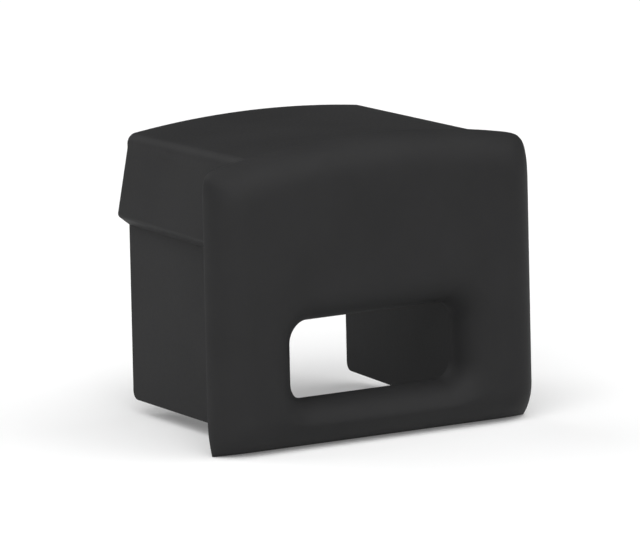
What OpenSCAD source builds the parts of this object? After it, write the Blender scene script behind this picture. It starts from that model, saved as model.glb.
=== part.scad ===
// End cap for an aluminium channel with a click-in arched cover.
// Millimetres. X runs across the cap, Y into the channel, Z up.
// The seat plane, where the face plate stops against the channel's end, is Y = 0.
// The middle of the plate's foot is at X = 0, Z = 0.

/* [Face plate] */
// Width of the face plate
plate_w = 17.4; // [15.2:0.1:24]
// Height of the face plate at the middle of its arched top
plate_h = 14.5; // [13:0.1:20]
// Thickness of the face plate
plate_t = 1.9; // [1.5:0.1:4]
// Radius of the cushion-shaped edge round the front of the plate
edge_r = 1.8; // [0.4:0.1:1.8]
// Radius of the arched top
arch_r = 40; // [24:1:90]
// Radius of the two upper corners, seen from the front
corner_r = 1; // [0.4:0.1:1.6]
// How far each side draws in at the foot
foot_in = 0.2; // [0.05:0.05:0.4]
// Height over which the sides draw in
foot_h = 1.8; // [1:0.1:3]

/* [Cable slot] */
// Width of the slot at its throat
slot_w = 9.1; // [6:0.1:9.6]
// Height of the slot at its throat
slot_h = 3.8; // [2.4:0.1:5]
// Height of the slot's floor above the plate's foot
slot_z = 2.25; // [2.2:0.05:4]
// Radius of the slot's corners at the throat
slot_corner_r = 0.95; // [0.3:0.05:1.1]
// Radius rolled on the front edge of the slot
slot_roll_r = 1.6; // [0.2:0.1:1.7]

/* [Hood] */
// Width of the hood over its side walls
hood_w = 13; // [12.4:0.1:13.4]
// Length of the hood behind the seat plane
hood_l = 11; // [6:0.5:20]
// Gap under the side walls, above the plate's foot
wall_lift = 0.75; // [0.4:0.05:1.4]
// Thickness of a side wall at the open end
wall_t = 1.25; // [0.8:0.05:1.4]
// Radius on the lower rear corner of each side wall
wall_corner_r = 0.4; // [0.1:0.1:1.5]
// Least gap from the plate's arch down to the roof, where the two meet
roof_gap = 0.05; // [0.05:0.05:0.6]
// Fall of the roof from the plate to the open end
roof_fall = 0.4; // [0:0.05:1]
// Radius of the arched roof
roof_arch_r = 47; // [30:1:120]
// Radius where the roof turns down into the walls
roof_corner_r = 0.5; // [0.2:0.1:0.9]
// Thickness of the roof at the open end
roof_t = 1.2; // [0.8:0.1:1.8]
// Rise of the roof's underside from the plate to the open end
roof_rise = 0.05; // [0:0.05:0.3]
// Land between the slot's throat and the root of each wall
jamb_land = 0.15; // [0.1:0.05:0.4]

/* [Snap ribs] */
// How far a rib stands out from the side wall
rib_out = 0.6; // [0.3:0.1:0.9]
// Gap from the roof's turned-down corner at the open end to a rib's upper edge
rib_gap = 0.2; // [0.15:0.05:0.8]
// Height of a rib's ramp, from its upper edge down to its lip
rib_ramp_h = 3.1; // [2:0.1:4]
// Height of a rib's underside, from its lip down to the wall
rib_under_h = 0.6; // [0.4:0.1:1.2]
// Radius on the lip
rib_lip_r = 0.25; // [0.1:0.05:0.3]

/* [Hidden] */
$fn = 96;
plastic = [0.12, 0.12, 0.13];

// Overlap that joins solids and lets a cut run past a face
eps = 0.5;

half_w = plate_w / 2;
half_hood = hood_w / 2;
half_slot = slot_w / 2;

// Least flat behind a rounded edge, and the two radii where the plate's thickness limits them
edge_land = 0.05;
rim_r = min(edge_r, plate_t - edge_land);
roll_r = min(slot_roll_r, plate_t - edge_land);

// Centre of the plate's arch
arch_z = plate_h - arch_r;

// Radius and centre of the arc that draws a side in at the foot
foot_r = (pow(foot_h, 2) + pow(foot_in, 2)) / (2 * foot_in);
foot_x = half_w - foot_r;

// The roof's top line at the seat plane, the slopes of its top and its underside, and its length along them
roof_z = plate_h - roof_gap - max(0, sag(arch_r, half_hood) - sag(roof_arch_r, half_hood));
roof_angle = atan2(roof_fall, hood_l);
roof_rise_angle = atan2(roof_rise, hood_l);
roof_run = hood_l / cos(roof_angle) + 2 * eps;

// How far the roof's corners turn down below its crown, and the ribs' heights below them
roof_turn = roof_corner_r + sag(roof_arch_r - roof_corner_r, half_hood - roof_corner_r);
rib_top_z = roof_z - roof_fall - roof_turn / cos(roof_angle) - rib_gap;
rib_lip_z = rib_top_z - rib_ramp_h;
rib_foot_z = rib_lip_z - rib_under_h;

// Share of a rib's slopes that runs on inside the wall
rib_bite = 0.04;

// Least widening of the hood's inside on each side, and its half width at the root and at the open end
least_widening = 0.1;
root_half = half_slot + jamb_land;
open_half = max(half_hood - wall_t, root_half + least_widening);

// How far an arch of a given radius has fallen at a distance from its middle
function sag(radius, distance) = radius - sqrt(pow(radius, 2) - pow(distance, 2));

// Extrudes an outline drawn in X and Z from one Y to another
module along_y(from, to) {
    translate([0, to, 0])
        rotate([90, 0, 0])
            linear_extrude(to - from)
                children();
}

// Extrudes an outline drawn in Y and Z over a width centred on X = 0
module along_x(width) {
    translate([-width / 2, 0, 0])
        rotate([90, 0, 90])
            linear_extrude(width)
                children();
}

// Turns an outline of radius and forward depth about a line parallel to Y through [x, z]
module about_y(x, z) {
    translate([x, 0, z])
        rotate([90, 0, 0])
            rotate_extrude($fn = 360)
                children();
}

// Half section of the plate out to its rim: the rim's front edge is rounded by rim_r
module rim_section(reach) {
    square([reach, plate_t - rim_r]);
    square([reach - rim_r, plate_t]);
    intersection() {
        translate([reach - rim_r, plate_t - rim_r])
            circle(rim_r);
        square([reach, plate_t]);
    }
}

// An arched top whose two corners turn down into upright sides, closed at the height low
module arched_outline(half, top, arch, corner, low) {
    middle_z = top - arch;
    turn_x = half - corner;
    turn_z = middle_z + sqrt(pow(arch - corner, 2) - pow(turn_x, 2));
    meet = arch / (arch - corner);
    meet_x = turn_x * meet;
    meet_z = middle_z + (turn_z - middle_z) * meet;
    intersection() {
        translate([0, middle_z])
            circle(arch, $fn = 720);
        polygon([[0, middle_z], [2 * meet_x, 2 * meet_z - middle_z], [-2 * meet_x, 2 * meet_z - middle_z]]);
        translate([-half, turn_z - corner])
            square([2 * half, arch]);
    }
    for (side = [-1, 1])
        translate([side * turn_x, turn_z])
            circle(corner);
    translate([-half, low])
        square([2 * half, turn_z - low]);
}

// Repeats what is drawn for the right-hand side on the left
module both_sides() {
    children();
    mirror([1, 0, 0])
        children();
}

// The plate above the drawn-in foot: sides, arch and corners each bound it with a rounded edge
module plate_upper() {
    intersection() {
        along_y(-plate_t, 0)
            arched_outline(half_w, plate_h, arch_r, corner_r, foot_h);
        about_y(0, arch_z)
            rim_section(arch_r);
        translate([0, 0, foot_h])
            linear_extrude(plate_h)
                both_sides()
                    mirror([0, 1])
                        rim_section(half_w);
    }
}

// The foot of the plate, where each side follows an arc inwards
module plate_foot() {
    both_sides()
        intersection() {
            about_y(foot_x, foot_h)
                rim_section(foot_r);
            translate([0, -plate_t - eps, 0])
                cube([half_w + eps, plate_t + 2 * eps, foot_h]);
        }
}

// The face plate, whose underside has the same rounded edge as its sides
module face_plate() {
    intersection() {
        union() {
            plate_upper();
            plate_foot();
        }
        along_x(plate_w + 2 * eps)
            translate([0, plate_h + eps])
                mirror([1, 1])
                    rim_section(plate_h + eps);
    }
}

// Rounded outline of the slot, drawn larger by the distance grow
module slot_outline(grow) {
    round_r = slot_corner_r + grow;
    run_x = half_slot - slot_corner_r;
    translate([-run_x, slot_z - grow])
        square([2 * run_x, slot_h + 2 * grow]);
    translate([-half_slot - grow, slot_z + slot_corner_r])
        square([slot_w + 2 * grow, slot_h - 2 * slot_corner_r]);
    for (x = [-run_x, run_x], z = [slot_z + slot_corner_r, slot_z + slot_h - slot_corner_r])
        translate([x, z])
            circle(round_r);
}

// The round bead that the front edge of the slot follows: four straight runs and four corners
module slot_bead() {
    reach = slot_corner_r + roll_r;
    run_x = half_slot - slot_corner_r;
    run_z = slot_h / 2 - slot_corner_r;
    translate([0, roll_r - plate_t, slot_z + slot_h / 2]) {
        for (side = [-1, 1]) {
            translate([side * (run_x + reach), 0, 0])
                cylinder(r = roll_r, h = 2 * run_z, center = true);
            translate([0, 0, side * (run_z + reach)])
                rotate([0, 90, 0])
                    cylinder(r = roll_r, h = 2 * run_x, center = true);
        }
        for (corner = [0:3])
            translate([run_x * sign(cos(45 + 90 * corner)), 0, run_z * sign(sin(45 + 90 * corner))])
                rotate([90, 0, 0])
                    rotate([0, 0, 90 * corner])
                        rotate_extrude(angle = 90)
                            translate([reach, 0])
                                circle(roll_r);
    }
}

// The slot, cut straight at its throat and flared round the bead in front
module cable_slot() {
    along_y(-plate_t - eps, eps)
        slot_outline(0);
    difference() {
        along_y(-plate_t - eps, roll_r - plate_t)
            slot_outline(roll_r);
        slot_bead();
    }
}

// Outside of the hood: an arched section that follows the falling roof, trimmed to its length
module hood_outside() {
    intersection() {
        translate([0, 0, roof_z])
            rotate([-roof_angle, 0, 0])
                along_y(-2 * eps, roof_run)
                    arched_outline(half_hood, 0, roof_arch_r, roof_corner_r, -plate_h - 2 * eps);
        along_x(hood_w + 2 * eps)
            side_outline();
    }
}

// The hood seen from the side, with its lower rear corner rounded
module side_outline() {
    translate([-eps, wall_lift + wall_corner_r])
        square([hood_l + eps, plate_h]);
    translate([-eps, wall_lift])
        square([hood_l - wall_corner_r + eps, plate_h]);
    translate([hood_l - wall_corner_r, wall_lift + wall_corner_r])
        circle(wall_corner_r);
}

// Inside of the hood: it widens and rises towards the open end, and it is open underneath
module hood_inside() {
    intersection() {
        translate([0, 0, -eps])
            linear_extrude(plate_h + 2 * eps)
                polygon([
                    [-root_half, 0], [root_half, 0], [open_half, hood_l], [open_half, hood_l + eps],
                    [-open_half, hood_l + eps], [-open_half, hood_l]
                ]);
        translate([0, 0, roof_z - roof_fall - roof_t - roof_rise])
            rotate([roof_rise_angle, 0, 0])
                along_y(-2 * eps, roof_run)
                    arched_outline(half_hood, 0, roof_arch_r, roof_corner_r, -plate_h - 2 * eps);
    }
}

// Section of one snap rib: a long ramp from above, a rounded lip and a short underside
module rib_section() {
    top = [half_hood, rib_top_z];
    foot = [half_hood, rib_foot_z];
    lip = [half_hood + rib_out - rib_lip_r, rib_lip_z];
    ramp_end = touch(top, lip, rib_lip_r, 1);
    under_end = touch(foot, lip, rib_lip_r, -1);
    root_top = top + rib_bite * (top - ramp_end);
    root_foot = foot + rib_bite * (foot - under_end);
    polygon([
        [half_hood - wall_t / 2, root_top[1]], root_top, ramp_end, lip,
        under_end, root_foot, [half_hood - wall_t / 2, root_foot[1]]
    ]);
    translate(lip)
        circle(rib_lip_r);
}

// Point where a line from a point outside a circle touches it: side is 1 or -1
function touch(from, centre, radius, side) =
    let (
        gap = centre - from,
        slope = atan2(gap[1], gap[0]) + side * asin(radius / norm(gap)),
        reach = sqrt(pow(norm(gap), 2) - pow(radius, 2))
    )
    from + reach * [cos(slope), sin(slope)];

// The open-backed hood with its two snap ribs
module hood() {
    difference() {
        union() {
            hood_outside();
            both_sides()
                along_y(0, hood_l)
                    rib_section();
        }
        hood_inside();
    }
}

// The whole cap, moulded in one piece
module end_cap() {
    color(plastic)
        difference() {
            union() {
                face_plate();
                intersection() {
                    hood();
                    translate([-plate_w, 0, 0])
                        cube([2 * plate_w, hood_l + eps, plate_h]);
                }
            }
            cable_slot();
        }
}

end_cap();
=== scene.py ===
"""A black moulded end cap for a light-strip channel, on a plain white floor."""

import math

import bpy
import numpy as np
from mathutils import Matrix, Vector


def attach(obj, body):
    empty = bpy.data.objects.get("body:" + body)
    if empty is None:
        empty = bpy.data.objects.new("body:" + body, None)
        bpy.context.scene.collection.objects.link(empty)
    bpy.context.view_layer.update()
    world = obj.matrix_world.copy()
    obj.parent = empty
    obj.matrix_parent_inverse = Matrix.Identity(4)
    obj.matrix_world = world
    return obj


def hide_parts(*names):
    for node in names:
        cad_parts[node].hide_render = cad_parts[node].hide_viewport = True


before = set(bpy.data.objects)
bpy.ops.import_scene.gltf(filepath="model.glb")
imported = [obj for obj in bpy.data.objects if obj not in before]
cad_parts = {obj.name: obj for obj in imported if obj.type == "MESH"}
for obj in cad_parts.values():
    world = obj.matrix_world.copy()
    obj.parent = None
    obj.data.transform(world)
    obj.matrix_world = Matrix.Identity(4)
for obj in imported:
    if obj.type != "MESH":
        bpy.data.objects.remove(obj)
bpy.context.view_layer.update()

MM = 0.001
WHITE = (1, 1, 1, 1)

# Face plate. CORNER_TIGHT is the share that comes off its top corners, and REAR_ROUND the small rear edge round,
# which is less along the arch and the foot
HALF_W = 8.7 * MM
PLATE_H = 14.495 * MM
PLATE_T = 1.9 * MM
EDGE_R = 1.8 * MM
LAND = PLATE_T - EDGE_R
ARCH_R = 40 * MM
FOOT_IN = 0.2 * MM
FOOT_H = 1.8 * MM
CORNER_TIGHT = 0.08
REAR_ROUND = 0.12 * MM
REAR_ROUND_TOP = 0.04 * MM

# Cable slot. LIP_BLEND is the power that joins its roll with the foot's round, and LIP_CUT brings the roll's grid
# closer to the slot below it, where there is less room
HALF_SLOT = 4.55 * MM
SLOT_H = 3.8 * MM
SLOT_Z = 2.25 * MM
SLOT_CORNER = 0.95 * MM
SLOT_ROLL = 1.6 * MM
LIP_BLEND = 6.0
LIP_CUT = 0.55 * MM

# Hood. Its inside widens from ROOT_HALF at the plate to OPEN_HALF, and its outer roof falls by ROOF_FALL on the way
HALF_HOOD = 6.5 * MM
HOOD_L = 11 * MM
WALL_LIFT = 0.75 * MM
WALL_CORNER = 0.4 * MM
ROOT_HALF = 4.7 * MM
OPEN_HALF = 5.25 * MM
ROOF_Z = 14.369 * MM
ROOF_FALL = 0.4 * MM
ROOF_ARCH = 47 * MM
ROOF_CORNER = 0.5 * MM
ROOF_T = 1.2 * MM
ROOF_RISE = 0.05 * MM
INNER_CORNER = 0.3 * MM
END_ROUND = 0.08 * MM

# Snap ribs
RIB_OUT = 0.6 * MM
RIB_GAP = 0.2 * MM
RIB_RAMP_H = 3.1 * MM
RIB_UNDER_H = 0.6 * MM
RIB_LIP_R = 0.25 * MM

# Lines on the plate that carry the grids: the stretch of the foot at its corner, the lower edge and corner of the flat
# field on the front, and on the rear the half width and height of two lines below the slot, outside and inside the hood
FOOT_CORNER = 0.5 * MM
FIELD_FOOT = 1.1 * MM
FIELD_CORNER = 1.0 * MM
SILL_OUTSIDE = (6.2 * MM, 0.4 * MM)
SILL_INSIDE = (4.4 * MM, 0.7 * MM)

# Columns of the grids on the right-hand half, from the middle of the foot round to the middle of the top:
# foot, foot corner, up to the wall's lower edge, its rounded corner, below the slot's side, beside it,
# above it, along the rib, round the upper corner, and along the arch
FOOT, TURN, STEP, ROUND, LOW, BESIDE, HIGH, CORNER, ARCH = 26, 8, 8, 10, 12, 8, 16, 16, 26
UNDER, LIP, RAMP = 5, 14, 8
RIB = UNDER + LIP + RAMP
WALL_TOP = 3
FIRST = FOOT + TURN + STEP
# The power that spreads the columns evenly round the rim's top corners
CORNER_SPREAD = 0.4

# Rows of the grids: the edge band and the slot's roll, the flat field, a small round, and the hood's length
BAND_ROWS, FIELD_ROWS, BEND_ROWS, WALL_ROWS = 21, 7, 6, 12
# The even rows along the hood start and stop at these distances from the plate and from the open end
WALL_START, WALL_STOP = 0.5 * MM, 0.7 * MM
# A row this close to an edge keeps its shading crisp, points this close are one, and edges turned further are sharp
NEAR = 0.01 * MM
WELD = 0.00001 * MM
CREASE = 35

# Black plastic: the two tones between which it drifts, its roughness, and its grain
DARK_TONE = (0.0221, 0.0221, 0.0226, 1)
LIGHT_TONE = (0.0246, 0.0246, 0.0251, 1)
DRIFT_SCALE = 260.0
DRIFT_RANGE = (0.35, 0.65)
IOR = 1.5
SPECULAR_LEVEL = 0.1
ROUGHNESS = (0.58, 0.64)
GRAIN_SCALE = 9000.0
GRAIN_RANGE = (0.3, 0.7)
GRAIN_STRENGTH = 0.12
GRAIN_DEPTH = 0.02 * MM

# Camera, fitted to the photograph: the point it looks at, its distance, turn, height and roll in degrees
TARGET = Vector((-0.6407, 3.0706, 7.1790)) * MM
DISTANCE = 756.4 * MM
AZIMUTH, ELEVATION, ROLL = -29.85, 11.05, -1.273
LENS = 900
SENSOR = 36
CLIP = (0.1, 10)

# Floor, in metres, with the glow that brings it from its lit colour up to white, and the dim surroundings
FLOOR_REACH = 3.0
FLOOR_COLOUR = (0.8, 0.8, 0.8, 1)
FLOOR_GLOW = 0.16
SURROUNDINGS = 0.03

# Soft lamps: their width and distance in metres, the point they face, and each one's name, direction and watts
LAMP_SIZE = 1.0
LAMP_DISTANCE = 1.0
LAMP_AIM = Vector((0, 4.5, 7)) * MM
LAMPS = (
    ("key", (-0.465, -0.555, 0.69), 9.6),
    ("fill", (0.45, -0.35, 0.82), 6.5),
    ("rear", (-0.426, 0.674, 0.604), 5.5),
)


def line(start, stop, count):
    """Points spaced evenly on the straight line between two points, without the last one."""
    share = np.linspace(0, 1, count, endpoint=False)[:, None]
    return np.array(start) * (1 - share) + np.array(stop) * share


def arc(centre, radius, start, stop, count):
    """Points on a circle at evenly spaced angles, in degrees, without the last one."""
    angle = np.radians(np.linspace(start, stop, count, endpoint=False))
    return np.array(centre) + radius * np.stack([np.cos(angle), np.sin(angle)], 1)


def arched(half, crown, arch, corner):
    """Centre of the arc that turns an arched top down into an upright side, and the angle where the two arcs meet.

    That centre lies one corner radius inside the side, and the arch's radius less the corner's from the arch's centre.
    """
    turn_x = half - corner
    rise = np.sqrt((arch - corner) ** 2 - turn_x**2)
    return (turn_x, crown - arch + rise), np.degrees(np.arctan2(rise, turn_x))


def crown_arc(crown, arch, meet, count):
    """The arched top from the angle meet up to its middle."""
    return arc((0, crown - arch), arch, meet, 90, count)


def side_x(z):
    """Half width of the plate at a height: upright, and drawn in along an arc at the foot."""
    radius = (FOOT_H**2 + FOOT_IN**2) / (2 * FOOT_IN)
    below = np.clip(FOOT_H - z, 0, None)
    return HALF_W - radius + np.sqrt(radius**2 - below**2)


def front_depth(x, z):
    """How far the front stands before the seat plane.

    Within one edge radius of a side, the top or the foot, u and w go from 0 to 1 outwards. The depth there is the edge
    radius times the root of (1 - u^2)(1 - w^2), and at the top corners a share of u^4 w^4 comes off, which turns the
    outline with a small radius. The slot's roll falls away with a quarter circle of the distance from its throat, and
    the two falls join as a power mean, so that the lip below the slot has no crease.
    """
    u = np.clip(1 - (side_x(z) - np.abs(x)) / EDGE_R, 0, 1)
    top = np.clip(1 - (ARCH_R - np.hypot(x, z - PLATE_H + ARCH_R)) / EDGE_R, 0, 1)
    foot = np.clip(1 - z / EDGE_R, 0, 1)
    remains = (1 - u**2) * (1 - top**2) * (1 - foot**2) - CORNER_TIGHT * (u * top) ** 4
    edge_fall = EDGE_R * (1 - np.sqrt(np.clip(remains, 0, 1)))
    across = np.abs(x) - HALF_SLOT + SLOT_CORNER
    upward = np.abs(z - SLOT_Z - SLOT_H / 2) - SLOT_H / 2 + SLOT_CORNER
    outside = np.hypot(np.clip(across, 0, None), np.clip(upward, 0, None)) - SLOT_CORNER
    near = np.clip(1 - outside / SLOT_ROLL, 0, 1)
    roll_fall = SLOT_ROLL * (1 - np.sqrt(1 - near**2))
    falls = np.stack([edge_fall, roll_fall]) / EDGE_R
    return PLATE_T - EDGE_R * (falls**LIP_BLEND).sum(0) ** (1 / LIP_BLEND)


def heights():
    """Heights of the columns that run up the sides, from the foot to the rib's foot."""
    angle = np.radians(np.linspace(0, 90, ROUND, endpoint=False))
    corner = WALL_LIFT + WALL_CORNER * (1 - np.cos(angle))
    slot_mid = SLOT_Z + SLOT_CORNER
    slot_top = SLOT_Z + SLOT_H - SLOT_CORNER
    step = np.linspace(0, WALL_LIFT, STEP, endpoint=False)
    low = np.linspace(WALL_LIFT + WALL_CORNER, slot_mid, LOW, endpoint=False)
    beside = np.linspace(slot_mid, slot_top, BESIDE, endpoint=False)
    return step, corner, low, beside, slot_top


def rib_heights():
    """Heights of the rib's foot, lip and top on the wall."""
    turn, _ = arched(HALF_HOOD, ROOF_Z - ROOF_FALL, ROOF_ARCH, ROOF_CORNER)
    top = turn[1] - RIB_GAP
    return top - RIB_RAMP_H - RIB_UNDER_H, top - RIB_RAMP_H, top


def corner_reach(w):
    """How far out u lies on the rim of a top corner for a given w: the root of (1 - u^2)(1 - w^2) = k u^4 w^4."""
    rest = 1 - w**2
    return np.sqrt(2 * rest / (rest + np.sqrt(rest**2 + 4 * CORNER_TIGHT * w**4 * rest)))


def rim():
    """The plate's outline: straight foot, sides drawn in at the foot, the tight top corners, and the arch."""
    step, corner, low, beside, slot_top = heights()
    foot_z, _, _ = rib_heights()
    start_z = PLATE_H - ARCH_R + np.sqrt((ARCH_R - EDGE_R) ** 2 - HALF_W**2)
    upper = np.concatenate([
        step, corner, low, beside,
        np.linspace(slot_top, foot_z, HIGH, endpoint=False),
        np.linspace(foot_z, start_z, RIB, endpoint=False),
    ])
    side = np.stack([side_x(upper), upper], 1)
    foot_x = side_x(0.0)
    angle = np.radians(np.linspace(0, 90, CORNER, endpoint=False))
    small = np.minimum(np.sin(angle), np.cos(angle)) ** CORNER_SPREAD
    large = corner_reach(small)
    u, w = np.where(np.sin(angle) < np.cos(angle), (large, small), (small, large))
    x = HALF_W - EDGE_R * (1 - u)
    turn = np.stack([x, PLATE_H - ARCH_R + np.sqrt((ARCH_R - EDGE_R * (1 - w)) ** 2 - x**2)], 1)
    meet = np.degrees(np.arccos((HALF_W - EDGE_R) / ARCH_R))
    return np.concatenate([
        line((0, 0), (foot_x - FOOT_CORNER, 0), FOOT),
        line((foot_x - FOOT_CORNER, 0), (foot_x, 0), TURN),
        side, turn, crown_arc(PLATE_H, ARCH_R, meet, ARCH), [(0, PLATE_H)],
    ])


def front_frame():
    """The line round the front's flat field: one edge radius in from the sides and arch, and closer to the foot."""
    _, _, _, _, slot_top = heights()
    foot_z, _, _ = rib_heights()
    half = HALF_W - EDGE_R
    low_turn = (half - FIELD_CORNER, FIELD_FOOT + FIELD_CORNER)
    turn, meet = arched(half, PLATE_H - EDGE_R, ARCH_R - EDGE_R, FIELD_CORNER)
    return np.concatenate([
        line((0, FIELD_FOOT), (low_turn[0], FIELD_FOOT), FOOT),
        arc(low_turn, FIELD_CORNER, -90, 0, TURN + STEP + ROUND),
        line((half, low_turn[1]), (half, SLOT_Z + SLOT_CORNER), LOW),
        line((half, SLOT_Z + SLOT_CORNER), (half, slot_top), BESIDE),
        line((half, slot_top), (half, foot_z), HIGH),
        line((half, foot_z), (half, turn[1]), RIB),
        arc(turn, FIELD_CORNER, 0, meet, CORNER),
        crown_arc(PLATE_H - EDGE_R, ARCH_R - EDGE_R, meet, ARCH),
        [(0, PLATE_H - EDGE_R)],
    ])


def throat():
    """The slot's outline and its outward direction: a rectangle with round corners."""
    _, _, _, _, slot_top = heights()
    x, low, high = HALF_SLOT - SLOT_CORNER, SLOT_Z + SLOT_CORNER, slot_top
    turns = np.concatenate([
        np.full(FOOT, -90.0),
        np.linspace(-90, 0, TURN + STEP + ROUND + LOW, endpoint=False),
        np.zeros(BESIDE),
        np.linspace(0, 90, HIGH + RIB, endpoint=False),
        np.full(CORNER + ARCH + 1, 90.0),
    ])
    middle = np.concatenate([
        line((0, low), (x, low), FOOT),
        np.tile([(x, low)], (TURN + STEP + ROUND + LOW, 1)),
        line((x, low), (x, high), BESIDE),
        np.tile([(x, high)], (HIGH + RIB, 1)),
        line((x, high), (0, high), CORNER + ARCH),
        [(0, high)],
    ])
    out = np.stack([np.cos(np.radians(turns)), np.sin(np.radians(turns))], 1)
    return middle + SLOT_CORNER * out, out


def touch(point, centre, radius, side):
    """Where a line from a point touches a circle, and the angle of that place about the circle's centre."""
    gap = centre - point
    length = np.hypot(*gap)
    slope = np.arctan2(gap[1], gap[0]) + side * np.arcsin(radius / length)
    place = point + np.sqrt(length**2 - radius**2) * np.array([np.cos(slope), np.sin(slope)])
    return place, np.degrees(np.arctan2(*(place - centre)[::-1]))


def hood_outline(crown):
    """Outside of the hood's section: wall, snap rib, wall, roof corner and roof."""
    _, corner, low, beside, slot_top = heights()
    foot_z, lip_z, top_z = rib_heights()
    turn, meet = arched(HALF_HOOD, crown, ROOF_ARCH, ROOF_CORNER)
    wall = np.concatenate([corner, low, beside, np.linspace(slot_top, foot_z, HIGH, endpoint=False)])
    lip = np.array([HALF_HOOD + RIB_OUT - RIB_LIP_R, lip_z])
    under, under_turn = touch(np.array([HALF_HOOD, foot_z]), lip, RIB_LIP_R, -1)
    ramp, ramp_turn = touch(np.array([HALF_HOOD, top_z]), lip, RIB_LIP_R, 1)
    return np.concatenate([
        np.stack([np.full(len(wall), HALF_HOOD), wall], 1),
        line((HALF_HOOD, foot_z), under, UNDER),
        arc(lip, RIB_LIP_R, under_turn, ramp_turn, LIP),
        line(ramp, (HALF_HOOD, top_z), RAMP),
        line((HALF_HOOD, top_z), turn, WALL_TOP) * [0, 1] + [HALF_HOOD, 0],
        arc(turn, ROOF_CORNER, 0, meet, CORNER - WALL_TOP),
        crown_arc(crown, ROOF_ARCH, meet, ARCH),
        [(0, crown)],
    ])


def hood_inner_outline(half, crown):
    """Inside of the hood's section: upright wall, small round corner and roof."""
    _, corner, low, beside, slot_top = heights()
    foot_z, _, _ = rib_heights()
    turn, meet = arched(half, crown, ROOF_ARCH, INNER_CORNER)
    wall = np.concatenate([
        corner, low, beside,
        np.linspace(slot_top, foot_z, HIGH, endpoint=False),
        np.linspace(foot_z, turn[1], RIB + WALL_TOP, endpoint=False),
    ])
    return np.concatenate([
        np.stack([np.full(len(wall), half), wall], 1),
        arc(turn, INNER_CORNER, 0, meet, CORNER - WALL_TOP),
        crown_arc(crown, ROOF_ARCH, meet, ARCH),
        [(0, crown)],
    ])


def outward(path):
    """Unit direction to the right of an open path, from its own tangents."""
    run = np.gradient(path, axis=0)
    out = np.stack([run[:, 1], -run[:, 0]], 1)
    return out / np.linalg.norm(out, axis=1)[:, None]


def place(plan, y):
    """Points in space from their places in the X and Z plane and their Y."""
    y = np.broadcast_to(y, plan.shape[:-1])
    return np.stack([plan[..., 0], y, plan[..., 1]], -1)


def both_halves(grid, closed=True):
    """The right-hand half and its mirror image as one ring of columns, or as one strip from wall to wall."""
    left = grid[:, ::-1] * [-1, 1, 1]
    return np.concatenate([grid, left[:, 1:-1] if closed else left[:, 1:]], 1)


def front_grid():
    """The front from the rim to the throat: each column goes in from the rim, and its depth comes from front_depth."""
    outline, frame_line = rim(), front_frame()
    slot, out = throat()
    reach = SLOT_ROLL - LIP_CUT * np.clip(-out[:, 1], 0, 1) ** 2
    ring = slot + out * reach[:, None]
    ease = 1 - np.cos(np.radians(np.linspace(0, 90, BAND_ROWS)))
    band = outline + (frame_line - outline) * ease[:, None, None]
    flat = frame_line + (ring - frame_line) * np.linspace(0, 1, FIELD_ROWS)[1:-1, None, None]
    roll = slot + (ring - slot) * ease[::-1, None, None]
    plan = np.concatenate([band, flat, roll])
    depth = front_depth(plan[..., 0], plan[..., 1])
    depth[0] = LAND
    depth[-1] = PLATE_T - SLOT_ROLL
    return np.concatenate([place(plan, -depth), place(slot[None], 0.0)])


def rear_grid(hood_line):
    """Round the plate's rear edge and in over its rear face to the hood's outline."""
    outline = rim()
    out = outward(outline)
    out[0], out[-1] = (0, -1), (0, 1)
    angle = np.radians(np.linspace(0, 90, BEND_ROWS))[:, None, None]
    radius = REAR_ROUND_TOP + (REAR_ROUND - REAR_ROUND_TOP) * np.abs(out[:, :1])
    turn = outline - out * radius * (1 - np.cos(angle))
    y = -LAND * (1 - np.sin(angle[..., 0]))
    inner = outline - out * (radius + NEAR)
    return np.concatenate([place(turn, y), place(inner[None], 0.0), place(hood_line[None], 0.0)])


def shell_grid(outer, inner):
    """The hood's wall: out along its outside, round its open end, and back along its inside.

    Both faces are ruled from the outline at the plate to the one at the open end, and the wall's lower corner
    is cut back with a quarter circle.
    """
    angle = np.radians(np.linspace(0, 90, ROUND, endpoint=False))
    length = np.full(len(outer[0]), HOOD_L)
    length[:ROUND] = HOOD_L - WALL_CORNER * (1 - np.sin(angle))
    bend = np.radians(np.linspace(0, 90, BEND_ROWS))[:, None]
    even = np.linspace(WALL_START, HOOD_L - WALL_STOP, WALL_ROWS)
    straight = np.concatenate([[0, NEAR], even])[:, None] / HOOD_L * length
    y = np.concatenate([straight, [length - END_ROUND - NEAR], length - END_ROUND * (1 - np.sin(bend))])
    inset = np.concatenate([np.zeros((len(straight) + 1, 1)), END_ROUND * (1 - np.cos(bend))])
    faces = []
    for (root, end), sign in ((outer, -1), (inner, 1)):
        out = outward(root)
        out[0], out[-1] = (1, 0), (0, 1)
        plan = root + (end - root) * (y / HOOD_L)[..., None] + sign * out * inset[..., None]
        faces.append(place(plan, y))
    return np.concatenate([faces[0], faces[1][::-1]])


def grid_cells(rows, columns, start, closed):
    """Corner numbers of a grid's cells, row by row, joined across the last column where the grid is a ring."""
    r = np.arange(rows - 1)[:, None] * columns
    c = np.arange(columns if closed else columns - 1)
    n = (c + 1) % columns
    cells = np.stack([r + c, r + n, r + columns + n, r + columns + c], -1)
    return cells.reshape(-1, 4) + start


def wall_foot_cells(rows, columns, start):
    """Cells that close the bottom edge of both walls, from the outside's first column to the inside's."""
    k = np.arange(rows // 2 - 1)
    both = []
    for column in (0, columns - 1):
        near = start + k * columns + column
        far = start + (rows - 1 - k) * columns + column
        cells = np.stack([near, near + columns, far - columns, far], -1)
        both.append(cells if column else cells[:, ::-1])
    return np.concatenate(both)


def sill(corner, section):
    """A hood section led on below it: level at the sill's height, then straight to the wall's lower corner."""
    return np.concatenate([
        line((0, corner[1]), corner, FOOT + TURN), line(corner, section[0], STEP), section,
    ])


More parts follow.
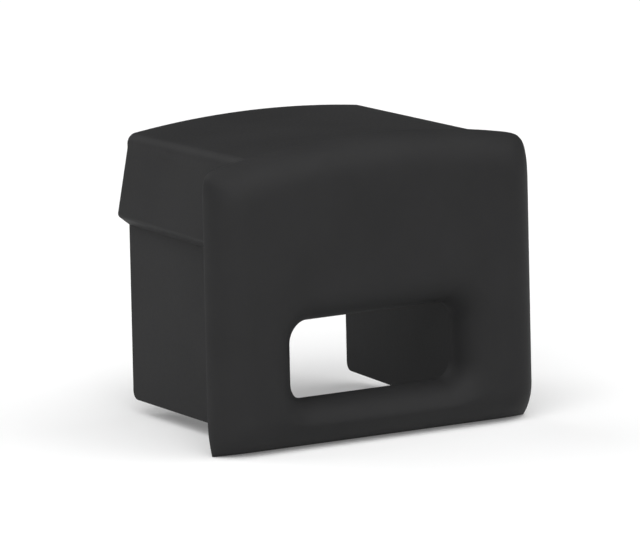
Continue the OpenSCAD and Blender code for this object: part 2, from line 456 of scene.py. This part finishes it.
def cap_surface():
    """All points and cells of the cap, with every cell pointing out."""
    outer = [hood_outline(ROOF_Z), hood_outline(ROOF_Z - ROOF_FALL)]
    inner_crown = ROOF_Z - ROOF_FALL - ROOF_T
    inner = [hood_inner_outline(ROOT_HALF, inner_crown - ROOF_RISE), hood_inner_outline(OPEN_HALF, inner_crown)]
    foot_out, foot_in = sill(SILL_OUTSIDE, outer[0]), sill(SILL_INSIDE, inner[0])
    slot, _ = throat()
    below = np.stack([foot_out[: FIRST + 1], foot_in[: FIRST + 1]])
    patches = (
        (both_halves(front_grid()), True, 1),
        (both_halves(rear_grid(foot_out)), True, -1),
        (both_halves(place(np.stack([foot_in, slot]), 0.0)), True, -1),
        (both_halves(shell_grid(outer, inner), closed=False), False, -1),
        (both_halves(place(below, 0.0)[:, ::-1], closed=False), False, 1),
    )
    points, cells, count = [], [], 0
    for grid, closed, turn in patches:
        rows, columns = grid.shape[:2]
        cells.append(grid_cells(rows, columns, count, closed)[:, ::turn])
        if not closed and rows > 2:
            cells.append(wall_foot_cells(rows, columns, count))
        points.append(grid.reshape(-1, 3))
        count += rows * columns
    return np.concatenate(points), np.concatenate(cells)


def make_cap():
    """The cap as one closed mesh: points that several patches share are joined, and its creases stay sharp."""
    points, cells = cap_surface()
    _, first, number = np.unique(np.round(points / WELD), axis=0, return_index=True, return_inverse=True)
    mesh = bpy.data.meshes.new("cap_moulding")
    mesh.from_pydata(points[first], [], number.reshape(-1)[cells])
    mesh.shade_smooth()
    mesh.set_sharp_from_angle(angle=math.radians(CREASE))
    cap = bpy.data.objects.new("cap_moulding", mesh)
    bpy.context.scene.collection.objects.link(cap)
    return cap


def node(tree, kind, place_at, **settings):
    """A shader node with its settings and the values of its named sockets."""
    made = tree.nodes.new(kind)
    made.location = place_at
    for name, value in settings.items():
        if name in made.inputs:
            made.inputs[name].default_value = value
        else:
            setattr(made, name, value)
    return made


def black_plastic():
    """Matt black moulded plastic: fine even grain, a faint drift of tone and slightly uneven gloss."""
    material = bpy.data.materials.new("black_plastic")
    material.use_nodes = True
    tree = material.node_tree
    shader = tree.nodes["Principled BSDF"]
    shader.inputs["IOR"].default_value = IOR
    shader.inputs["Specular IOR Level"].default_value = SPECULAR_LEVEL
    where = node(tree, "ShaderNodeTexCoord", (-1300, 0))
    grain = node(tree, "ShaderNodeTexNoise", (-1000, -300), Scale=GRAIN_SCALE, Detail=2.0, Roughness=0.6)
    drift = node(tree, "ShaderNodeTexNoise", (-1000, 0), Scale=DRIFT_SCALE, Detail=3.0, Roughness=0.5)
    tint = node(tree, "ShaderNodeValToRGB", (-700, 100))
    for stop, at, tone in zip(tint.color_ramp.elements, DRIFT_RANGE, (DARK_TONE, LIGHT_TONE)):
        stop.position, stop.color = at, tone
    gloss = node(tree, "ShaderNodeMapRange", (-700, -150))
    for socket, value in zip(("From Min", "From Max", "To Min", "To Max"), GRAIN_RANGE + ROUGHNESS):
        gloss.inputs[socket].default_value = value
    bump = node(tree, "ShaderNodeBump", (-400, -350), Strength=GRAIN_STRENGTH, Distance=GRAIN_DEPTH)
    for source, target in (
        (where.outputs["Object"], grain.inputs["Vector"]),
        (where.outputs["Object"], drift.inputs["Vector"]),
        (drift.outputs["Fac"], tint.inputs["Fac"]),
        (tint.outputs["Color"], shader.inputs["Base Color"]),
        (grain.outputs["Fac"], gloss.inputs["Value"]),
        (gloss.outputs["Result"], shader.inputs["Roughness"]),
        (grain.outputs["Fac"], bump.inputs["Height"]),
        (bump.outputs["Normal"], shader.inputs["Normal"]),
    ):
        tree.links.new(source, target)
    return material


def seen_directly(tree):
    """1 for rays from the camera, from reflections and through clear material, and 0 for those that light things."""
    rays = node(tree, "ShaderNodeLightPath", (-900, 200))
    either = node(tree, "ShaderNodeMath", (-700, 200), operation="MAXIMUM")
    seen = node(tree, "ShaderNodeMath", (-500, 200), operation="MAXIMUM")
    tree.links.new(rays.outputs["Is Camera Ray"], either.inputs[0])
    tree.links.new(rays.outputs["Is Glossy Ray"], either.inputs[1])
    tree.links.new(either.outputs[0], seen.inputs[0])
    tree.links.new(rays.outputs["Is Transmission Ray"], seen.inputs[1])
    return seen.outputs[0]


def white_ground():
    """White matt ground that keeps the object's soft shadow, with a glow that brings the rest of it up to white."""
    material = bpy.data.materials.new("ground")
    material.use_nodes = True
    tree = material.node_tree
    tree.nodes.clear()
    matt = node(tree, "ShaderNodeBsdfDiffuse", (-300, 100), Color=FLOOR_COLOUR)
    glow = node(tree, "ShaderNodeEmission", (-300, -100))
    strength = node(tree, "ShaderNodeMath", (-500, -100), operation="MULTIPLY")
    both = node(tree, "ShaderNodeAddShader", (-100, 0))
    result = node(tree, "ShaderNodeOutputMaterial", (100, 0))
    strength.inputs[1].default_value = FLOOR_GLOW
    tree.links.new(seen_directly(tree), strength.inputs[0])
    tree.links.new(strength.outputs[0], glow.inputs["Strength"])
    tree.links.new(matt.outputs[0], both.inputs[0])
    tree.links.new(glow.outputs[0], both.inputs[1])
    tree.links.new(both.outputs[0], result.inputs["Surface"])
    return material


def make_ground():
    """The flat floor that the cap rests on."""
    mesh = bpy.data.meshes.new("ground")
    corners = np.array([(-1, -1, 0), (1, -1, 0), (1, 1, 0), (-1, 1, 0)]) * FLOOR_REACH
    mesh.from_pydata(corners, [], [(0, 1, 2, 3)])
    ground = bpy.data.objects.new("ground", mesh)
    bpy.context.scene.collection.objects.link(ground)
    return ground


def make_camera():
    """The camera at the photograph's angle, with the photograph's slight roll."""
    a, e, r = map(math.radians, (AZIMUTH, ELEVATION, ROLL))
    away = Vector((math.sin(a) * math.cos(e), -math.cos(a) * math.cos(e), math.sin(e)))
    right = Vector((0, 0, 1)).cross(away).normalized()
    up = away.cross(right)
    side = right * math.cos(r) + up * math.sin(r)
    top = up * math.cos(r) - right * math.sin(r)
    camera = bpy.data.objects.new("camera", bpy.data.cameras.new("camera"))
    camera.data.lens = LENS
    camera.data.sensor_width = SENSOR
    camera.data.clip_start, camera.data.clip_end = CLIP
    turn = Matrix((side, top, away)).transposed().to_4x4()
    camera.matrix_world = Matrix.Translation(TARGET + away * DISTANCE) @ turn
    bpy.context.scene.collection.objects.link(camera)
    bpy.context.scene.camera = camera


def make_lamp(name, direction, power):
    """A square soft lamp that faces the cap from a direction."""
    lamp = bpy.data.objects.new(name, bpy.data.lights.new(name, "AREA"))
    lamp.data.size = LAMP_SIZE
    lamp.data.energy = power
    lamp.visible_camera = False
    away = Vector(direction).normalized()
    turn = away.to_track_quat("Z", "Y").to_matrix().to_4x4()
    lamp.matrix_world = Matrix.Translation(LAMP_AIM + away * LAMP_DISTANCE) @ turn
    bpy.context.scene.collection.objects.link(lamp)


def make_world():
    """Dim even surroundings."""
    world = bpy.data.worlds.new("surroundings")
    world.use_nodes = True
    background = world.node_tree.nodes["Background"]
    background.inputs["Color"].default_value = WHITE
    background.inputs["Strength"].default_value = SURROUNDINGS
    bpy.context.scene.world = world


cap = make_cap()
cap.data.materials.append(black_plastic())
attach(cap, "root")
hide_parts("end_cap")

ground = make_ground()
ground.data.materials.append(white_ground())

make_camera()
for lamp_name, lamp_direction, lamp_power in LAMPS:
    make_lamp(lamp_name, lamp_direction, lamp_power)
make_world()
bpy.context.scene.view_settings.view_transform = "Standard"
